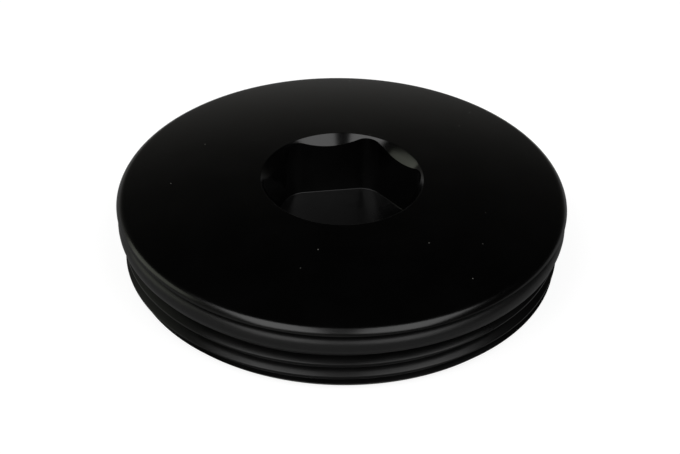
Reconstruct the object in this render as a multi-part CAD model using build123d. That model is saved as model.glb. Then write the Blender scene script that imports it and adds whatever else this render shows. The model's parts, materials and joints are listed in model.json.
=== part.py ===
from build123d import *
import os
from math import cos, pi, radians, tan

# Threaded protection cap: a turned aluminium plug that screws flush into a tapped port.
# It has a domed face, a thin round-edged flange, a groove for a rubber O-ring close under
# the flange, a short fine thread and a milled hexagon socket for the key.
# Millimetres, +Z up. The origin is on the axis, in the end face that the cap stands on.

# ---- Driving dimensions ------------------------------------------------------------------

# Thread, M30 x 1: a plain cylinder of the major diameter stands for its crests
thread_diameter = 30.0
thread_reach = 4.9              # underside of the flange to the end face
thread_lead_in = 0.75           # 45 degree chamfer at the end of the thread
thread_start_break = 0.2        # 45 degree chamfer beside the groove

# Flange and domed face
flange_overhang = 0.6           # flange beyond the thread, on the radius
flange_edge_height = 0.5        # underside of the flange to the foot of the dome
flange_edge_round = 0.5         # round that blends the dome into the flange's wall
flange_edge_break = 0.08        # small chamfer on the lower edge
dome_height = 1.85              # foot of the dome to its virtual top on the axis

# O-ring, 28 x 1.5, and its groove
ring_cord = 1.5                 # width of the seated cord along the radius
ring_seated_height = 1.48       # height of the seated cord, which is pressed slightly flat
ring_proud = 0.5                # ring beyond the thread, on the radius
ring_floor_clearance = 0.05     # ring to the floor of its groove
ring_flange_clearance = 0.25    # ring to the underside of the flange
ring_thread_clearance = 0.17    # ring to the thread's side of the groove

# Hexagon socket
hex_across_flats = 10.0
hex_corner_radius = 1.6         # left by the milling cutter
socket_depth = 4.45             # edge of the countersink to the socket's floor
countersink_margin = 0.1        # countersink's edge beyond the hexagon's round corners
countersink_angle = 88.0        # included angle

# ---- Sizes that follow from them ---------------------------------------------------------

thread_radius = thread_diameter / 2
flange_radius = thread_radius + flange_overhang

ring_outer_radius = thread_radius + ring_proud
ring_centre_radius = ring_outer_radius - ring_cord / 2
groove_radius = ring_outer_radius - ring_cord - ring_floor_clearance
groove_width = ring_flange_clearance + ring_seated_height + ring_thread_clearance

hex_corner_reach = (hex_across_flats / 2 - hex_corner_radius) / cos(pi / 6) + hex_corner_radius
countersink_radius = hex_corner_reach + countersink_margin

# The dome is part of a sphere through the flange's corner and the virtual top
dome_sphere_radius = (flange_radius**2 + dome_height**2) / (2 * dome_height)


def dome_drop(radius):
    """How far the domed face lies below its virtual top, at a distance from the axis."""
    return dome_sphere_radius - (dome_sphere_radius**2 - radius**2) ** 0.5


# Heights above the end face
z_flange = thread_reach
z_groove_bottom = z_flange - groove_width
z_ring_centre = z_flange - ring_flange_clearance - ring_seated_height / 2
z_dome_foot = z_flange + flange_edge_height
z_dome_top = z_dome_foot + dome_height
z_countersink_edge = z_dome_top - dome_drop(countersink_radius)
z_socket_floor = z_countersink_edge - socket_depth

# The countersink's cone is turned to a flat bottom well inside the hexagon
countersink_tip_radius = hex_across_flats / 2 - hex_corner_radius
countersink_slope = tan(radians(countersink_angle / 2))
countersink_depth = (countersink_radius - countersink_tip_radius) / countersink_slope
z_countersink_tip = z_countersink_edge - countersink_depth


# ---- The turned body ---------------------------------------------------------------------

def side_outline():
    """Outer outline of the half section, from the end face up to the flange."""
    return Polyline(
        (0, 0),
        (thread_radius - thread_lead_in, 0),
        (thread_radius, thread_lead_in),
        (thread_radius, z_groove_bottom - thread_start_break),
        (thread_radius - thread_start_break, z_groove_bottom),
        (groove_radius, z_groove_bottom),
        (groove_radius, z_flange),
        (flange_radius - flange_edge_break, z_flange),
        (flange_radius, z_flange + flange_edge_break),
        (flange_radius, z_dome_foot),
    )


def dome_outline():
    """Domed face of the half section, from the flange in to the countersink."""
    half_way = (flange_radius + countersink_radius) / 2
    return ThreePointArc(
        (flange_radius, z_dome_foot),
        (half_way, z_dome_top - dome_drop(half_way)),
        (countersink_radius, z_countersink_edge),
    )


def countersink_outline():
    """Countersink's cone, its flat bottom and the axis that closes the half section."""
    return Polyline(
        (countersink_radius, z_countersink_edge),
        (countersink_tip_radius, z_countersink_tip),
        (0, z_countersink_tip),
        (0, 0),
    )


def turned_body():
    """The half section turned about the axis of the cap."""
    section = make_face([side_outline(), dome_outline(), countersink_outline()])
    flange_corner = section.vertices().sort_by_distance((flange_radius, z_dome_foot))[0]
    section = fillet(flange_corner, flange_edge_round)
    return revolve(Plane.XZ * section, Axis.Z)


# ---- The key socket ----------------------------------------------------------------------

def socket_cut():
    """The milled hexagon, with flats that face +Y and -Y and corners left by the cutter."""
    hexagon = RegularPolygon(hex_across_flats / 2, 6, major_radius=False)
    hexagon = fillet(hexagon.vertices(), hex_corner_radius)
    height = z_dome_top - z_socket_floor
    return extrude(Pos(0, 0, z_socket_floor) * hexagon, height)


def cap_body():
    """Body of the cap: the hexagon leaves the countersink as six scallops."""
    return turned_body() - socket_cut()


# ---- The seal ----------------------------------------------------------------------------

def o_ring():
    """Rubber O-ring of nearly round section, seated in the groove under the flange."""
    section = Pos(ring_centre_radius, z_ring_centre) * Ellipse(ring_cord / 2, ring_seated_height / 2)
    return revolve(Plane.XZ * section, Axis.Z)


# ---- Output ------------------------------------------------------------------------------

def main():
    os.makedirs("parts", exist_ok=True)
    pieces = {
        "cap_body": cap_body(),
        "o_ring": o_ring(),
    }
    for name, solid in pieces.items():
        solid.label = name
        export_step(solid, f"parts/{name}.step")
    print(f"countersink edge {z_countersink_edge:.3f}, socket floor {z_socket_floor:.3f},",
          f"groove bottom {z_groove_bottom:.3f}, dome sphere {dome_sphere_radius:.1f}")


main()
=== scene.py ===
# %% [markdown]
# Threaded protection cap: a black anodised plug with a domed face, a hexagon socket for the
# key, a fine right-hand thread and a rubber O-ring close under its flange.
#
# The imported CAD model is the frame. Two CAD pieces come with it: the metal body and the
# O-ring. Both are made again here with finer detail, in the same place and at the same size,
# and stand in for the CAD pieces in the picture.

# %% Load the frame
import json
from math import acos, asin, atan2, cos, degrees, pi, radians, sin, sqrt, tan

import bpy
from mathutils import Matrix, Vector

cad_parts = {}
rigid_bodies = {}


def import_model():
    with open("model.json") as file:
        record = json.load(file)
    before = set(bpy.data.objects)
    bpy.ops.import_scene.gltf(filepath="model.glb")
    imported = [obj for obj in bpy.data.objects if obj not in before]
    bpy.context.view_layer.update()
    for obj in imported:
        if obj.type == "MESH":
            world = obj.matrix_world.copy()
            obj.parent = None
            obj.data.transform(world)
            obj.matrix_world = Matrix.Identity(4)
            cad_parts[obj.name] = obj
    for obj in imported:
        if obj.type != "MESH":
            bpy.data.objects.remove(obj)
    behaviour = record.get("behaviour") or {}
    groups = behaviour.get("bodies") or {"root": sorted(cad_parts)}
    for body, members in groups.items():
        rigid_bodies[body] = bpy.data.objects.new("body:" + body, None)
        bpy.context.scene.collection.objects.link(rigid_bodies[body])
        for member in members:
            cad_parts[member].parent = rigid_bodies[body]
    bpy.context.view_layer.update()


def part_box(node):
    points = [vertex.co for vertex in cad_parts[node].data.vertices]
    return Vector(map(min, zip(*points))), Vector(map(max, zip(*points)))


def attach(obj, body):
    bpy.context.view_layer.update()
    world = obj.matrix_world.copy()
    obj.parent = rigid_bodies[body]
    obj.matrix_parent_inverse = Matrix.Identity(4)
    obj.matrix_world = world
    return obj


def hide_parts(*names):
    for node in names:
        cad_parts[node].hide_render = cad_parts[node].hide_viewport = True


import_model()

mm = 0.001
body_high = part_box("cap_body")[1]
ring_low, ring_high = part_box("o_ring")
print("the body reaches", [round(v / mm, 3) for v in body_high], "mm")
print("the ring lies from", round(ring_low.z / mm, 3), "to", round(ring_high.z / mm, 3), "mm")

# %% [markdown]
# All sizes are in metres, as everything in Blender is here. The outer sizes are read from
# the CAD pieces, so that the two models can't drift apart. The rest are the ones that a
# drawing of the cap would give, and everything else is worked out from them.

# %% Sizes of the cap
flange_radius = body_high.x
socket_edge_height = body_high.z          # sharp edge between the dome and the countersink
ring_outer_radius = ring_high.x
thread_radius = 15.0 * mm
thread_pitch = 1.0 * mm
thread_depth = 0.60 * mm
lead_in = 0.75 * mm                       # chamfer at the end of the thread
groove_radius = 13.95 * mm                # floor of the O-ring groove
groove_bottom = ring_low.z - 0.17 * mm
flange_underside = ring_high.z + 0.25 * mm
dome_foot = flange_underside + 0.5 * mm
dome_height = 1.85 * mm
hexagon_across_flats = 10.0 * mm
hexagon_corner = 1.6 * mm                 # radius that the milling cutter leaves
countersink_overlap = 0.1 * mm            # how far it reaches past the hexagon's corners
countersink_half_angle = radians(44)
socket_floor = socket_edge_height - 4.45 * mm
front_heading = radians(260.7)            # the side of the cap that faces the camera

corner_centre = (hexagon_across_flats / 2 - hexagon_corner) / cos(pi / 6)
countersink_radius = corner_centre + hexagon_corner + countersink_overlap
print("underside of the flange at", round(flange_underside / mm, 3), "mm")
print("countersink radius", round(countersink_radius / mm, 3), "mm")
print("socket floor at", round(socket_floor / mm, 3), "mm")


# %% [markdown]
# Blender's operators work on what is selected, as they do by hand. The CAD pieces are still
# selected after the frame is loaded, so each step first deselects everything. These small
# helpers do that, open a piece in edit mode and pick edges by where their ends lie, which
# keeps working when a size is changed.

# %% Selecting
def deselect_all():
    if bpy.context.mode != "OBJECT":
        bpy.ops.object.mode_set(mode="OBJECT")
    bpy.ops.object.select_all(action="DESELECT")


def make_active(piece):
    deselect_all()
    piece.select_set(True)
    bpy.context.view_layer.objects.active = piece


def edit(piece, mode="VERT"):
    """Opens a piece in edit mode with nothing selected."""
    make_active(piece)
    bpy.ops.object.mode_set(mode="EDIT")
    bpy.ops.mesh.select_mode(type=mode)
    bpy.ops.mesh.select_all(action="DESELECT")


def close_edit():
    bpy.ops.object.mode_set(mode="OBJECT")


def edit_edges(piece, wanted):
    """Opens a piece with only those edges selected whose two end points pass a test."""
    edit(piece, "EDGE")
    close_edit()
    points = piece.data.vertices
    for edge in piece.data.edges:
        edge.select = wanted(*(points[index].co for index in edge.vertices))
    bpy.ops.object.mode_set(mode="EDIT")


def count(piece):
    mesh = piece.data
    print(piece.name, "has", len(mesh.vertices), "vertices and", len(mesh.polygons), "faces")


# %% [markdown]
# A lathe part starts as half of its cross section. It could be traced with a curve, but a
# line of plain vertices is easier to follow: one vertex is extruded from point to point.
# Each corner is given with the radius of its round, and the arc's points are worked out.

# %% Drawing an outline
def turned(vector, angle):
    x, y = vector
    return Vector((x * cos(angle) - y * sin(angle), x * sin(angle) + y * cos(angle)))


def rounded(corners, steps=4):
    """Points of a polyline of (x, z, radius) whose corners are rounded by their radius."""
    points = []
    for index, (x, z, radius) in enumerate(corners):
        here = Vector((x, z))
        if radius == 0 or index in (0, len(corners) - 1):
            points.append(here)
            continue
        back = (Vector(corners[index - 1][:2]) - here).normalized()
        on = (Vector(corners[index + 1][:2]) - here).normalized()
        half = acos(max(-1, min(1, back.dot(on)))) / 2
        reach = radius / tan(half)
        centre = here + (back + on).normalized() * (radius / sin(half))
        start = here + back * reach - centre
        swing = start.angle_signed(here + on * reach - centre)
        points += [centre + turned(start, -swing * step / steps) for step in range(steps + 1)]
    return points


def draw(name, points, closed=False):
    """One vertex, extruded along the points in the XZ plane."""
    deselect_all()
    bpy.ops.mesh.primitive_plane_add(size=1 * mm, location=(0, 0, 0))
    piece = bpy.context.active_object
    piece.name = name
    bpy.ops.object.mode_set(mode="EDIT")
    bpy.ops.mesh.select_mode(type="VERT")
    bpy.ops.mesh.select_all(action="SELECT")
    bpy.ops.mesh.merge(type="CENTER")
    bpy.ops.transform.translate(value=(points[0][0], 0, points[0][1]))
    for a, b in zip(points, points[1:]):
        step = (b[0] - a[0], 0, b[1] - a[1])
        bpy.ops.mesh.extrude_vertices_move(TRANSFORM_OT_translate={"value": step})
    if closed:
        edit(piece)
        close_edit()
        mesh = piece.data
        for vertex in mesh.vertices:
            vertex.select = sum(vertex.index in edge.vertices for edge in mesh.edges) == 1
        bpy.ops.object.mode_set(mode="EDIT")
        bpy.ops.mesh.edge_face_add()
    close_edit()
    return piece


# %% [markdown]
# The metal body is turned from bar, so the whole of it but the socket is in one outline. The
# lower part runs from the middle of the flat end face over the lead-in chamfer, up the
# thread's outside, round the O-ring groove and out under the flange. The thread itself is
# cut later, as on the lathe.

# %% Outline from the end face to the flange
flange_round = 0.72 * mm
round_spread = 0.024 * mm                  # how far the round would pass the flange, uncut
lower_break = 0.13 * mm                    # broken edge under the flange
groove_break = 0.12 * mm                   # chamfer between the thread and the groove
groove_corner = 0.12 * mm
underside_width = 1.2 * lower_break        # how far the flat underside stops short of the edge

dome_top = dome_foot + dome_height
dome_sphere = (flange_radius**2 + dome_height**2) / (2 * dome_height)
sphere_centre = dome_top - dome_sphere
round_radius = flange_radius + round_spread - flange_round
round_height = sphere_centre + sqrt((dome_sphere - flange_round) ** 2 - round_radius**2)
round_begin = asin((flange_underside + lower_break - round_height) / flange_round)
round_end = atan2(round_height - sphere_centre, round_radius)
flange_edge = round_radius + flange_round * cos(round_begin)

side = rounded(
    [
        (0, 0, 0),
        (thread_radius - lead_in, 0, 0.06 * mm),
        (thread_radius, lead_in, 0),
        (thread_radius, groove_bottom - groove_break, 0),
        (thread_radius - groove_break, groove_bottom, 0.03 * mm),
        (groove_radius, groove_bottom, groove_corner),
        (groove_radius, flange_underside, groove_corner),
        (flange_radius - underside_width, flange_underside, 0.08 * mm),
        (flange_edge, flange_underside + lower_break, 0),
    ]
)
print("side of the body:", len(side), "points, flange edge at", round(flange_edge / mm, 3), "mm")

# %% [markdown]
# The face is a shallow dome: part of a large sphere. A small round blends it into the
# flange's edge. Both are arcs, and the round's centre is placed so that the two meet without
# a crease, because a glossy black face shows every kink as a break in its highlight.

# %% Outline of the round and the dome
steps_in_round = 14
flange_corner = []
for step in range(1, steps_in_round + 1):
    angle = round_begin + (round_end - round_begin) * step / steps_in_round
    flange_corner.append(
        Vector((round_radius + flange_round * cos(angle), round_height + flange_round * sin(angle)))
    )

rows_on_dome = 22
dome_rim = round_radius * dome_sphere / (dome_sphere - flange_round)
dome_end = countersink_radius + 0.06 * mm
dome = []
for row in range(1, rows_on_dome + 1):
    radius = dome_rim + (dome_end - dome_rim) * row / rows_on_dome
    dome.append(Vector((radius, sphere_centre + sqrt(dome_sphere**2 - radius**2))))
print("dome from", round(dome_rim / mm, 3), "in to", round(dome_end / mm, 3), "mm")

# %% [markdown]
# The countersink is turned too: a cone that the socket is cut into afterwards. It ends in a
# flat inside the hexagon, which the socket's cutter takes away later.

# %% Outline of the countersink
cone_end_radius = 3.0 * mm
cone_depth = (countersink_radius - cone_end_radius) / tan(countersink_half_angle)
countersink = rounded(
    [
        (*dome[-1], 0),
        (countersink_radius, socket_edge_height, 0.04 * mm),
        (cone_end_radius, socket_edge_height - cone_depth, 0),
        (0, socket_edge_height - cone_depth, 0),
    ]
)[1:]
outline = side + flange_corner + dome + countersink
print("cone", round(cone_depth / mm, 3), "mm deep, outline of", len(outline), "points")

# %% [markdown]
# Spin turns the outline once round the axis, as the lathe does. The last step falls on the
# first, so the doubles at the seam and on the axis are merged. After that the normals are
# made to point outwards, because a spin can leave the shape inside out.

# %% Spin the body
around = 360                               # steps round the axis
merge_distance = 0.0005 * mm
body = draw("cap_body_turned", outline)
edit(body)
bpy.ops.mesh.select_all(action="SELECT")
bpy.ops.mesh.spin(steps=around, angle=2 * pi, center=(0, 0, 0), axis=(0, 0, 1))
bpy.ops.mesh.select_all(action="SELECT")
bpy.ops.mesh.remove_doubles(threshold=merge_distance)
bpy.ops.mesh.normals_make_consistent(inside=False)
close_edit()
count(body)

# %% [markdown]
# The thread could be a bump on a plain cylinder, but its crests show in the outline, so it is
# real. It is cut as on a lathe. The tool is a V with a round tip, and the cutter is the whole
# path of that tool: the V's outline with a Screw modifier, which lifts it by one pitch a
# turn. It starts below the end face and runs out into the O-ring groove.

# %% Thread cutter
turns_of_thread = 6
flat_on_crest = 0.09 * mm
crest_break = 0.03 * mm                    # how deep the crest's edges are broken
break_height = 0.0285 * mm
root_round = 0.05 * mm
cutter_clear = 0.35 * mm                   # how far the cutter stands outside the thread
cutter_flare = 0.002 * mm
crest_height = 2.24 * mm                   # of one crest, at the front
half_mouth = (thread_pitch - flat_on_crest) / 2
half_tip = half_mouth - thread_depth * tan(radians(30))

first_groove = crest_height - thread_pitch / 2 - thread_pitch * front_heading / (2 * pi)
while first_groove > -thread_pitch:        # down to a whole turn below the end face
    first_groove -= thread_pitch

lower_flank = [
    (thread_radius + cutter_clear, -half_mouth - cutter_flare, 0),
    (thread_radius, -half_mouth, 0),
    (thread_radius - crest_break, -half_mouth + break_height, 0),
    (thread_radius - thread_depth, -half_tip, root_round),
]
upper_flank = [(x, -z, radius) for x, z, radius in reversed(lower_flank)]
tooth = [Vector((p.x, p.y + first_groove)) for p in rounded(lower_flank + upper_flank)]
cutter = draw("thread_cutter", tooth, closed=True)
make_active(cutter)
bpy.ops.object.modifier_add(type="SCREW")
screw = cutter.modifiers[-1]
screw.axis = "Z"
screw.angle = 2 * pi
screw.screw_offset = thread_pitch
screw.iterations = turns_of_thread
screw.steps = screw.render_steps = around
bpy.ops.object.modifier_apply(modifier=screw.name)
edit(cutter)
bpy.ops.mesh.select_non_manifold()
bpy.ops.mesh.fill_holes(sides=0)
bpy.ops.mesh.select_all(action="SELECT")
bpy.ops.mesh.normals_make_consistent(inside=False)
close_edit()
count(cutter)


# %% [markdown]
# A Boolean takes the cutter out of the body. The exact solver copes with faces that nearly
# touch, but can leave slivers and a pinhole where the thread runs out, so near points are
# merged and small holes filled. The cutter is thrown away, like a chip.

# %% Cut the thread
def cut(piece, tool):
    """Takes the tool's shape out of a piece, then throws the tool away."""
    make_active(piece)
    bpy.ops.object.modifier_add(type="BOOLEAN")
    boolean = piece.modifiers[-1]
    boolean.operation = "DIFFERENCE"
    boolean.solver = "EXACT"
    boolean.object = tool
    bpy.ops.object.modifier_apply(modifier=boolean.name)
    mesh = tool.data
    bpy.data.objects.remove(tool)
    bpy.data.meshes.remove(mesh)
    edit(piece)
    bpy.ops.mesh.select_all(action="SELECT")
    bpy.ops.mesh.remove_doubles(threshold=merge_distance)
    bpy.ops.mesh.select_all(action="DESELECT")
    bpy.ops.mesh.select_non_manifold()
    bpy.ops.mesh.fill_holes(sides=8)
    close_edit()
    count(piece)


cut(body, cutter)

# %% [markdown]
# The key socket is milled after turning. Its cutter starts as a six-sided cylinder. The
# upright edges are bevelled to the radius that a milling cutter leaves in the corners, and
# the bottom edges get a tiny fillet, which catches the light as a fine line round the floor.
# Where it cuts the turned cone, six scallops are left.

# %% Hexagon socket
prism_height = 6 * mm
deselect_all()
bpy.ops.mesh.primitive_cylinder_add(
    vertices=6,
    radius=hexagon_across_flats / 2 / cos(pi / 6),
    depth=prism_height,
    location=(0, 0, socket_floor + prism_height / 2),
)
prism = bpy.context.active_object
prism.name = "socket_cutter"
bpy.ops.object.transform_apply(location=True)
edit_edges(prism, lambda a, b: abs(a.z - b.z) > prism_height / 2)
bpy.ops.mesh.bevel(offset=hexagon_corner * tan(radians(30)), segments=10, affect="EDGES")
close_edit()
floor_fillet = 0.05 * mm
edit_edges(prism, lambda a, b: max(a.z, b.z) < socket_floor + floor_fillet)
bpy.ops.mesh.bevel(offset=floor_fillet, segments=3, affect="EDGES")
close_edit()
count(prism)

# %% [markdown]
# The prism is turned so that its corners lie where the socket's corners are, and the turn is
# applied to the mesh. Then it is cut out of the body.

# %% Turn the prism and cut the socket
corner = max(prism.data.vertices, key=lambda vertex: vertex.co.xy.length).co
corner_heading = atan2(corner.y, corner.x)
print("a corner reaches", round(corner.xy.length / mm, 3), "mm from the axis")
prism.rotation_euler.z = -corner_heading % (pi / 3)
make_active(prism)
bpy.ops.object.transform_apply(rotation=True)
cut(body, prism)

# %% [markdown]
# The O-ring is moulded rubber, sitting in its groove. It starts as a torus, which is pressed
# a little flat, and moved down onto the groove's lower side.

# %% O-ring
cord = 1.5 * mm
ring_drop = 0.04 * mm
ring_centre_height = (ring_low.z + ring_high.z) / 2
flatten = (ring_high.z - ring_low.z) / cord
deselect_all()
bpy.ops.mesh.primitive_torus_add(
    major_segments=around,
    minor_segments=48,
    major_radius=ring_outer_radius - cord / 2,
    minor_radius=cord / 2,
    location=(0, 0, 0),
)
ring = bpy.context.active_object
ring.name = "o_ring_seated"
edit(ring)
bpy.ops.mesh.select_all(action="SELECT")
bpy.ops.transform.resize(value=(1, 1, flatten))
bpy.ops.transform.translate(value=(0, 0, ring_centre_height - ring_drop))
close_edit()
count(ring)

# %% [markdown]
# A mould leaves a thin line of flash where its halves part. The ring rolls a little as it is
# pushed on, so the line lies below the middle of the outside. The loop of edges nearest to it
# is bevelled into a narrow band, and the band's middle is pushed out by a hair.

# %% Mould line of the ring
flash_below_centre = 0.41 * mm
flash_width = 0.035 * mm
flash_rise = 0.014 * mm
same_height = 0.002 * mm
flash_aim = ring_centre_height - flash_below_centre
flash_height = min((v.co.z for v in ring.data.vertices), key=lambda z: abs(z - flash_aim))


def on_flash_line(*ends):
    """Tells whether the ends of an edge lie at the mould line's height, on the outside."""
    middle_radius = ring_outer_radius - cord / 2
    return all(abs(end.z - flash_height) < same_height and end.xy.length > middle_radius for end in ends)


edit_edges(ring, on_flash_line)
bpy.ops.mesh.bevel(offset=flash_width, segments=2, affect="EDGES")
close_edit()
edit_edges(ring, on_flash_line)
swell = 1 + flash_rise / ring_outer_radius
bpy.ops.transform.resize(value=(swell, swell, 1), center_override=(0, 0, 0))
close_edit()
count(ring)

# %% [markdown]
# Smooth shading blends the facets of the turned faces. The limit of 24 degrees keeps the
# machined edges sharp: the thread's crests, the scallops and the chamfers.

# %% Smooth shading
sharp_from = radians(24)
for piece in (body, ring):
    make_active(piece)
    bpy.ops.object.shade_smooth_by_angle(angle=sharp_from)
    print(piece.name, "is shaded smooth")


# %% [markdown]
# The finishes come next. Each is a small tree of nodes, and these helpers keep the trees
# short to write: one adds a node and fills its inputs, and the others make the kinds that
# are used most. All patterns read Object coordinates, so that the marks stay on the piece
# when it moves.

# %% Building node trees
def add(tree, kind, at, **values):
    """A node at a place, with its properties set; a key of in_ and a name fills an input."""
    node = tree.nodes.new(kind)
    node.location = (at[0] * 200, at[1] * 200)
    for key, value in values.items():
        if not key.startswith("in_"):
            setattr(node, key, value)
            continue
        name = key[3:].replace("_", " ")
        socket = node.inputs[int(name)] if name.isdigit() else node.inputs[name]
        if isinstance(value, bpy.types.NodeSocket):
            tree.links.new(value, socket)
        else:
            socket.default_value = value
    return node


def maths(tree, at, operation, *values):
    """A Math node with its two or three values; gives its output."""
    filled = {f"in_{index}": value for index, value in enumerate(values)}
    return add(tree, "ShaderNodeMath", at, operation=operation, **filled).outputs[0]


def remap(tree, at, value, from_range=(0.0, 1.0), to_range=(0.0, 1.0)):
    """Stretches a value from one range to another and holds it at the ends."""
    node = add(tree, "ShaderNodeMapRange", at, in_Value=value)
    for label, pair in (("From", from_range), ("To", to_range)):
        node.inputs[label + " Min"].default_value, node.inputs[label + " Max"].default_value = pair
    return node.outputs["Result"]


def mix_colours(tree, at, share, first, second):
    """Blends two colours by a share."""
    node = add(tree, "ShaderNodeMix", at, data_type="RGBA", in_0=share, in_6=first, in_7=second)
    return node.outputs[2]


def noise(tree, at, place, scale, detail):
    """Cloudy noise over the surface; scale is in clouds a metre."""
    node = add(tree, "ShaderNodeTexNoise", at, in_Vector=place, in_Scale=scale, in_Detail=detail)
    return node.outputs["Fac"]


def grey(level):
    return (level, level, level, 1)


def new_group(name, inputs, outputs):
    """An empty node group with its named inputs (label, kind, default) and outputs."""
    tree = bpy.data.node_groups.new(name, "ShaderNodeTree")
    for label, kind, default in inputs:
        socket = tree.interface.new_socket(label, in_out="INPUT", socket_type=kind)
        if default is not None:
            socket.default_value = default
    for label in outputs:
        tree.interface.new_socket(label, in_out="OUTPUT", socket_type="NodeSocketFloat")
    return tree, tree.nodes.new("NodeGroupInput").outputs, tree.nodes.new("NodeGroupOutput").inputs


# %% [markdown]
# A lathe leaves fine rings on everything that it turns. On a face they are circles, and on a
# wall they are lines one above the other. Distance from the axis plus height changes across
# both, so noise along that one number gives the rings on every turned surface. A second,
# slower noise gives broad bands for the colour.

# %% Turning marks
bands_to_marks = 0.06
marks, given, result = new_group(
    "turning_marks",
    [("Vector", "NodeSocketVector", None), ("Marks per metre", "NodeSocketFloat", 9000.0)],
    ["Height", "Band"],
)
split = add(marks, "ShaderNodeSeparateXYZ", (-6, 0), in_Vector=given["Vector"]).outputs
flat = add(marks, "ShaderNodeCombineXYZ", (-5, 0), in_X=split["X"], in_Y=split["Y"])
from_axis = add(marks, "ShaderNodeVectorMath", (-4, 0), operation="LENGTH", in_0=flat.outputs[0])
along = maths(marks, (-3, 0), "ADD", from_axis.outputs["Value"], split["Z"])
scaled = maths(marks, (-2, 0), "MULTIPLY", along, given["Marks per metre"])
slow = maths(marks, (-2, -1), "MULTIPLY", scaled, bands_to_marks)
for label, position, detail, row in (("Height", scaled, 3.0, 0), ("Band", slow, 1.0, -1)):
    rings = add(
        marks,
        "ShaderNodeTexNoise",
        (-1, row),
        noise_dimensions="1D",
        in_W=position,
        in_Scale=1.0,
        in_Detail=detail,
    )
    marks.links.new(rings.outputs["Fac"], result[label])
print("group", marks.name, "with", len(marks.nodes), "nodes")

# %% [markdown]
# Handling leaves a finish a little more polished in some places than in others. Soft clouds,
# with their middle range stretched, vary the roughness.

# %% Uneven sheen
sheen, given, result = new_group(
    "uneven_sheen",
    [("Vector", "NodeSocketVector", None), ("Scale", "NodeSocketFloat", 300.0)],
    ["Value"],
)
cloud = noise(sheen, (-2, 0), given["Vector"], scale=given["Scale"], detail=4.0)
sheen.links.new(remap(sheen, (-1, 0), cloud, from_range=(0.35, 0.65)), result["Value"])
print("group", sheen.name, "with", len(sheen.nodes), "nodes")

# %% [markdown]
# White dust shows on anything black. A Voronoi texture fills space with cells, each with a
# random colour of its own. One channel of that colour decides whether a cell holds a speck,
# and another how large the speck is.

# %% Dust specks
dust, given, result = new_group(
    "dust_specks",
    [
        ("Vector", "NodeSocketVector", None),
        ("Specks per metre", "NodeSocketFloat", 900.0),
        ("Share", "NodeSocketFloat", 0.1),
        ("Size", "NodeSocketFloat", 0.04),
    ],
    ["Mask"],
)
cells = add(
    dust,
    "ShaderNodeTexVoronoi",
    (-4, 0),
    in_Vector=given["Vector"],
    in_Scale=given["Specks per metre"],
).outputs
chance = add(dust, "ShaderNodeSeparateColor", (-3, -1), in_Color=cells["Color"]).outputs
chosen = maths(dust, (-2, -1), "LESS_THAN", chance[0], given["Share"])
size = maths(dust, (-3, 1), "MULTIPLY", chance[1], given["Size"])
near = maths(dust, (-2, 0), "LESS_THAN", cells["Distance"], size)
dust.links.new(maths(dust, (-1, 0), "MULTIPLY", near, chosen), result["Mask"])
print("group", dust.name, "with", len(dust.nodes), "nodes")


# %% [markdown]
# Every finish starts and ends alike, so this is written once: an empty material with its
# Object coordinates, dust laid over a colour, and the shader joined to the output.

# %% Starting and ending a finish
def new_finish(name):
    """An empty material; gives it, its tree and its Object coordinates."""
    material = bpy.data.materials.new(name)
    material.use_nodes = True
    tree = material.node_tree
    tree.nodes.clear()
    return material, tree, add(tree, "ShaderNodeTexCoord", (-8, 0)).outputs["Object"]


def dusted(tree, place, colour, dust_colour, share, size):
    """A colour with dust specks on it."""
    specks = add(
        tree, "ShaderNodeGroup", (-6, -1), node_tree=dust, in_Vector=place, in_Share=share, in_Size=size
    )
    return mix_colours(tree, (-3, 1), specks.outputs["Mask"], colour, dust_colour)


def shade(tree, **values):
    """The shader with its inputs, joined to the output."""
    shader = add(tree, "ShaderNodeBsdfPrincipled", (-1, 0), **values)
    add(tree, "ShaderNodeOutputMaterial", (1, 0), in_Surface=shader.outputs["BSDF"])


def node_of(material, kind):
    """The one node of a kind in a material."""
    return next(node for node in material.node_tree.nodes if node.type == kind)


# %% [markdown]
# Black anodised aluminium is dyed oxide over turned metal: nearly black, with a satin gloss
# that the turning marks break up. It isn't set as metallic, because what is seen is the
# glassy oxide, and the dye hides the metal under it. The end face, the thread and the groove
# are rougher than the face, and the floor of the socket is the dustiest.

# %% Anodised finishes
band_contrast = 1.8                        # how much lighter the lightest band is
dust_on_metal = (0.11, 0.11, 0.10, 1)
speck_size = 0.045                         # the largest, as a share of a cell


def anodised(name, tone, roughness, marks_per_metre, mark_depth, dust_share):
    """A black anodised finish. Tone is its darkest grey, roughness a pair of values, and
    dust_share the share of the dust's cells that may hold a speck."""
    material, tree, place = new_finish(name)
    turning = add(
        tree,
        "ShaderNodeGroup",
        (-6, 1),
        node_tree=marks,
        in_Vector=place,
        in_Marks_per_metre=marks_per_metre,
    ).outputs
    uneven = add(tree, "ShaderNodeGroup", (-6, 0), node_tree=sheen, in_Vector=place)
    dyed = mix_colours(tree, (-4, 1), turning["Band"], grey(tone), grey(tone * band_contrast))
    bump = add(tree, "ShaderNodeBump", (-3, -1), in_Height=turning["Height"], in_Distance=mark_depth)
    bump.inputs["Strength"].default_value = 1.0
    shade(
        tree,
        in_Base_Color=dusted(tree, place, dyed, dust_on_metal, dust_share, speck_size),
        in_Roughness=remap(tree, (-4, 0), uneven.outputs["Value"], to_range=roughness),
        in_Normal=bump.outputs["Normal"],
    )
    print("finish", name)
    return material


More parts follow.
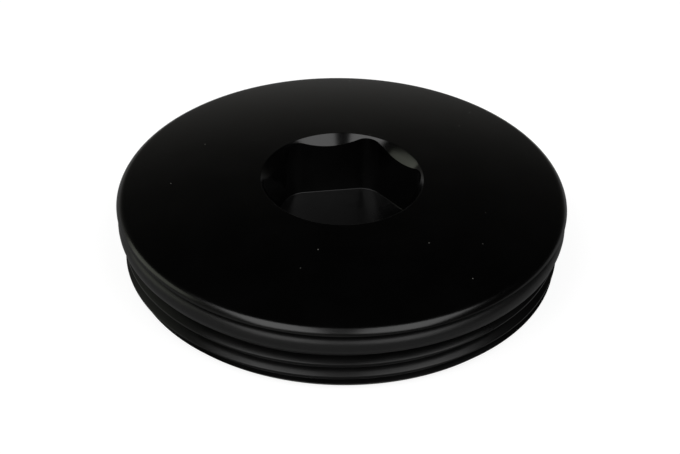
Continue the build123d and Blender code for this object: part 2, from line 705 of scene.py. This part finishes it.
face_finish = anodised("black_anodised_face", 0.0002, (0.20, 0.24), 9000.0, 0.0006 * mm, 0.6)
thread_finish = anodised("black_anodised_thread", 0.0006, (0.27, 0.34), 9000.0, 0.0008 * mm, 0.01)
cone_finish = anodised("black_anodised_socket", 0.0004, (0.12, 0.18), 7000.0, 0.0012 * mm, 0.5)
wall_finish = anodised("black_anodised_walls", 0.0003, (0.15, 0.21), 7000.0, 0.0004 * mm, 0.0)
bottom_finish = anodised(
    "black_anodised_socket_floor", 0.0006, (0.24, 0.42), 6000.0, 0.0016 * mm, 0.9
)

# %% [markdown]
# The lowest edge of the thread gets a painted reflection: a pale colour that stands for the
# white floor mirrored in the lead-in chamfer. The height above the end face says where it is
# painted, and noise breaks it up.

# %% Painted floor reflection on the end of the thread
# Pale colour painted on the lowest edge as the white floor's reflection in the chamfer.
painted_floor_reflection = (0.16, 0.155, 0.14, 1)
reflection_full_below, reflection_ends_above = 0.12 * mm, 0.40 * mm
thread_gloss = 0.36                        # duller than the face's 0.5
tree = thread_finish.node_tree
place = node_of(thread_finish, "TEX_COORD").outputs["Object"]
height = add(tree, "ShaderNodeSeparateXYZ", (-7, -3), in_Vector=place).outputs["Z"]
# Where the painted reflection goes: full near the end face, none higher up.
low_end = remap(tree, (-6, -3), height, from_range=(reflection_full_below, reflection_ends_above), to_range=(1.0, 0.0))
reflection_breakup = noise(tree, (-6, -4), place, scale=900.0, detail=3.0)
reflection_patches = remap(tree, (-5, -4), reflection_breakup, from_range=(0.35, 0.65), to_range=(0.35, 1.0))
painted_reflection = maths(tree, (-4, -3), "MULTIPLY", low_end, reflection_patches)
shader = node_of(thread_finish, "BSDF_PRINCIPLED").inputs
shader["Specular IOR Level"].default_value = thread_gloss
dyed = shader["Base Color"].links[0].from_socket
# The painted floor reflection is laid over the dyed colour of the thread.
tree.links.new(mix_colours(tree, (-2, 2), painted_reflection, dyed, painted_floor_reflection), shader["Base Color"])
print("the thread is worn up to", round(reflection_ends_above / mm, 2), "mm")

# %% [markdown]
# The socket's walls are milled, not turned, so their marks are upright. With the height taken
# out of the coordinates, noise runs straight down the walls, and it takes the place of the
# turning marks in the bump.

# %% Milled walls of the socket
tree = wall_finish.node_tree
place = node_of(wall_finish, "TEX_COORD").outputs["Object"]
upright = add(
    tree, "ShaderNodeVectorMath", (-7, -3), operation="MULTIPLY", in_0=place, in_1=(1, 1, 0)
).outputs["Vector"]
bump = node_of(wall_finish, "BUMP").inputs
tree.links.new(noise(tree, (-6, -3), upright, scale=1800.0, detail=2.0), bump["Height"])
bump["Distance"].default_value = 0.01 * mm     # depth of the marks
print("milled marks on", wall_finish.name)

# %% [markdown]
# The rubber is dark grey and dull, with a fine grain and much dust. Its gloss is set by plain
# numbers on the shader, because they are the same all over.

# %% Grain and dust of the rubber
rubber, tree, place = new_finish("black_rubber_seal")
grain = noise(tree, (-6, 0), place, scale=6000.0, detail=3.0)
black = mix_colours(tree, (-4, 1), grain, grey(0.003), grey(0.007))
rubber_colour = dusted(tree, place, black, dust_colour=grey(0.06), share=0.25, size=0.12)
print("grain and dust on", rubber.name)

# %% [markdown]
# The flash on the mould line is torn in places. A mask holds the relief close to the line's
# height, one noise tears it, and a slow one says along which stretches it is seen.

# %% Torn flash on the rubber
flash_share = 8.0                          # height of the flash against that of the grain
flash_middle = ring_centre_height - 0.38 * mm
height = add(tree, "ShaderNodeSeparateXYZ", (-7, -3), in_Vector=place).outputs["Z"]
off_line = maths(tree, (-5, -3), "ABSOLUTE", maths(tree, (-6, -3), "SUBTRACT", height, flash_middle))
near_line = remap(tree, (-4, -3), off_line, from_range=(0.03 * mm, 0.10 * mm), to_range=(1.0, 0.0))
torn = noise(tree, (-6, -4), place, scale=3500.0, detail=2.0)
patches = noise(tree, (-6, -5), place, scale=120.0, detail=1.0)
stretches = remap(tree, (-5, -5), patches, from_range=(0.42, 0.58))
flash = maths(tree, (-3, -4), "MULTIPLY", near_line, torn)
flash = maths(tree, (-2, -4), "MULTIPLY", flash, stretches)
relief = maths(tree, (-2, -3), "MULTIPLY_ADD", flash, flash_share, grain)
bump = add(tree, "ShaderNodeBump", (-3, -1), in_Height=relief, in_Distance=0.004 * mm)
shade(
    tree,
    in_Base_Color=rubber_colour,
    in_Roughness=0.37,
    in_Specular_IOR_Level=0.38,
    in_Normal=bump.outputs["Normal"],
)
print("finish", rubber.name)

# %% [markdown]
# Each face gets its finish by its place, as a painter would mask it: the socket's walls are
# upright, its floor is the lowest part, the cone is the rest of the socket, and all below the
# flange's underside is the thread with the groove and the end face.

# %% Which faces get which finish
FACE, THREAD, CONE, WALL, BOTTOM = range(5)
above_end_face = 1 * mm
upright_below = 0.2                        # of the normal's upward part
above_floor = 0.1 * mm
body.data.materials.clear()
for finish in (face_finish, thread_finish, cone_finish, wall_finish, bottom_finish):
    body.data.materials.append(finish)
ring.data.materials.clear()
ring.data.materials.append(rubber)


def finish_for(face):
    """The number of the finish for a face of the body."""
    centre = face.center
    if centre.xy.length < countersink_radius and centre.z > above_end_face:
        if abs(face.normal.z) < upright_below:
            return WALL
        return BOTTOM if centre.z < socket_floor + above_floor else CONE
    return THREAD if centre.z < flange_underside - 0.01 * mm else FACE


tally = [0] * len(body.data.materials)
for face in body.data.polygons:
    face.material_index = finish_for(face)
    tally[face.material_index] += 1
print("faces of the dome, thread, cone, walls and floor:", tally)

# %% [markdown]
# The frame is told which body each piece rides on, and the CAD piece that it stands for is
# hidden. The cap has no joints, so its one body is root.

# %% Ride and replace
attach(body, "root")
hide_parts("cap_body")
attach(ring, "root")
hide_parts("o_ring")
print("pieces:", body.name, ring.name)

# %% [markdown]
# The cap stands on a pale floor. The camera has to see it as white, without more light on
# the cap, so rays from the camera find a floor that glows a little and still takes the
# shadow. Reflections find a much darker one: a glossy black part mirrors the dark room
# around a light table, and would turn grey over a bright floor. From below, the floor is
# clear.

# %% Floor
floor_size = 4.0
camera_glow = 0.86
mirrored_glow = 0.04
deselect_all()
bpy.ops.mesh.primitive_plane_add(size=floor_size, location=(0, 0, 0))
floor = bpy.context.active_object
floor.name = "floor"
pale = bpy.data.materials.new("pale_floor")
pale.use_nodes = True
tree = pale.node_tree
tree.nodes.clear()
ray = add(tree, "ShaderNodeLightPath", (-4, 1)).outputs
seen = maths(tree, (-3, 1), "MAXIMUM", ray["Is Camera Ray"], ray["Is Glossy Ray"])
seen = maths(tree, (-2, 1), "MAXIMUM", seen, ray["Is Transmission Ray"])
plain = add(tree, "ShaderNodeBsdfDiffuse", (-3, 0), in_Color=grey(0.8)).outputs[0]
thin = add(tree, "ShaderNodeBsdfDiffuse", (-3, -1), in_Color=grey(0.22)).outputs[0]
level = remap(tree, (-4, -2), ray["Is Camera Ray"], to_range=(mirrored_glow, camera_glow))
glow = add(tree, "ShaderNodeEmission", (-3, -2), in_Color=grey(1), in_Strength=level).outputs[0]
white = add(tree, "ShaderNodeAddShader", (-2, -1), in_0=thin, in_1=glow).outputs[0]
above = add(tree, "ShaderNodeMixShader", (-1, 0), in_0=seen, in_1=plain, in_2=white).outputs[0]
clear = add(tree, "ShaderNodeBsdfTransparent", (-1, -1)).outputs[0]
below = add(tree, "ShaderNodeNewGeometry", (-1, 2)).outputs["Backfacing"]
two_way = add(tree, "ShaderNodeMixShader", (0, 0), in_0=below, in_1=above, in_2=clear)
add(tree, "ShaderNodeOutputMaterial", (1, 0), in_Surface=two_way.outputs[0])
floor.data.materials.append(pale)
print("floor", floor_size, "m wide")

# %% [markdown]
# These two directions are used by the world, the lamps and the camera: straight out of the
# front of the cap, and to the right as the camera sees it.

# %% Front and side
camera_front = Vector((cos(front_heading), sin(front_heading), 0))
camera_side = Vector((-sin(front_heading), cos(front_heading), 0))
middle = Vector((0, 0, flange_underside))
print("the front is at", round(degrees(front_heading), 1), "degrees")

# %% [markdown]
# The world does three things. It lights the cap softly and evenly, it is white to the
# camera, and it is what the glossy metal mirrors. The mirrored one is brighter near the
# horizon than overhead, by a colour ramp over the upward part of the direction. It fades to
# the right, away from the window, by a dot product with the camera's side.

# %% World
soft_light = 0.35
horizon, overhead = 0.40, 0.001            # mirrored brightness
dark_side_share = 0.12
world = bpy.data.worlds.new("studio")
bpy.context.scene.world = world
world.use_nodes = True
tree = world.node_tree
tree.nodes.clear()
ray = add(tree, "ShaderNodeLightPath", (-4, 2)).outputs
direction = add(tree, "ShaderNodeTexCoord", (-6, 0)).outputs["Generated"]
upward = add(tree, "ShaderNodeSeparateXYZ", (-5, 0), in_Vector=direction).outputs["Z"]
sweep = add(tree, "ShaderNodeValToRGB", (-4, 0), in_Fac=upward)
stops = sweep.color_ramp.elements
stops[0].position, stops[0].color = 0.0, grey(horizon)
stops[1].position, stops[1].color = 0.75, grey(overhead)
for position, level in ((0.17, 0.16), (0.40, 0.046), (0.57, 0.022)):
    stops.new(position).color = (level, level * 0.98, level * 0.91, 1)
aside = add(
    tree, "ShaderNodeVectorMath", (-4, -1), operation="DOT_PRODUCT", in_0=direction, in_1=camera_side
).outputs["Value"]
dark_side = remap(tree, (-3, -1), aside, from_range=(0.0, 0.75), to_range=(1.0, dark_side_share))


def background(row, colour, strength):
    node = add(tree, "ShaderNodeBackground", (-2, row), in_Color=colour, in_Strength=strength)
    return node.outputs[0]


soft = background(0, grey(1), soft_light)
mirrored = background(-1, sweep.outputs["Color"], dark_side)
white = background(-2, grey(1), 1.0)
straight = maths(tree, (-1, 2), "MAXIMUM", ray["Is Camera Ray"], ray["Is Transmission Ray"])
lit = add(tree, "ShaderNodeMixShader", (-1, 0), in_0=ray["Is Glossy Ray"], in_1=soft, in_2=mirrored)
whole = add(tree, "ShaderNodeMixShader", (0, 0), in_0=straight, in_1=lit.outputs[0], in_2=white)
add(tree, "ShaderNodeOutputWorld", (1, 0), in_Surface=whole.outputs[0])
print("world", world.name, "with", len(tree.nodes), "nodes")


# %% [markdown]
# Two softboxes stand side by side over the camera, with a narrow gap between them, which
# shows as a dark notch in the highlights on the rim and the countersink. A weaker, slightly
# green lamp far to the left is the window. Each faces the cap, and its brightness is given as
# radiance, so that it stays the same when the lamp's size is changed.

# %% Lamps
def softbox(name, aside, lift, distance, width, tall, radiance, colour=(1, 1, 1)):
    """A rectangular lamp that faces the cap. Lift is its height in the plane through the
    camera and the axis, and aside is how far it stands out of that plane, to the right."""
    deselect_all()
    in_plane = camera_front * cos(lift) + Vector((0, 0, sin(lift)))
    away = camera_side * sin(aside) + in_plane * cos(aside)
    bpy.ops.object.light_add(type="AREA", location=middle + away * distance)
    lamp = bpy.context.active_object
    lamp.name = name
    across = (camera_side - away * camera_side.dot(away)).normalized()
    lamp.rotation_mode = "QUATERNION"
    lamp.rotation_quaternion = Matrix((across, away.cross(across), away)).transposed().to_quaternion()
    lamp.data.shape = "RECTANGLE"
    lamp.data.size, lamp.data.size_y = width, tall
    lamp.data.energy = radiance * pi * width * tall
    lamp.data.color = colour
    lamp.visible_camera = False
    print(name, "gives", round(lamp.data.energy, 2), "watts")


near, lift = 0.5, radians(55)
softbox("softbox_left", radians(-23.5), lift, near, width=0.296, tall=0.52, radiance=2.3)
softbox("softbox_right", radians(25.5), lift, near, width=0.335, tall=0.52, radiance=2.0)
softbox(
    "window_left",
    radians(-66),
    radians(115),
    distance=0.8,
    width=0.34,
    tall=0.60,
    radiance=0.9,
    colour=(0.95, 1.0, 0.84),
)

# %% [markdown]
# The camera looks down at the cap from a little over a third of a right angle, through a long
# lens, so the circles of the cap show as calm ellipses. It is placed by its heading, height
# and distance from the middle, aimed a little below and to the left of it to frame the cap,
# and rolled by a hair.

# %% Camera
def across_and_up(back):
    """The camera's right and up directions when it looks against back."""
    right = Vector((0, 0, 1)).cross(back).normalized()
    return right, back.cross(right)


camera_height = radians(34.648)
camera_distance = 232.4 * mm
aim_down, aim_left = 1.650 * mm, 0.095 * mm
roll = 0.01622
back = camera_front * cos(camera_height) + Vector((0, 0, sin(camera_height)))
right, up = across_and_up(back)
place = middle + back * camera_distance
back = (place - (middle - up * aim_down - right * aim_left)).normalized()
right, up = across_and_up(back)
right = (right + up * roll).normalized()
up = back.cross(right)
deselect_all()
bpy.ops.object.camera_add(location=place)
camera = bpy.context.active_object
camera.name = "camera"
camera.rotation_mode = "QUATERNION"
camera.rotation_quaternion = Matrix((right, up, back)).transposed().to_quaternion()
camera.data.sensor_width = 36.0
camera.data.lens = 177.6
camera.data.clip_start = 0.01
camera.data.clip_end = 20.0
camera.data.dof.use_dof = False
bpy.context.scene.camera = camera
bpy.context.scene.view_settings.view_transform = "Standard"
print("camera at", [round(v / mm, 1) for v in place], "mm")
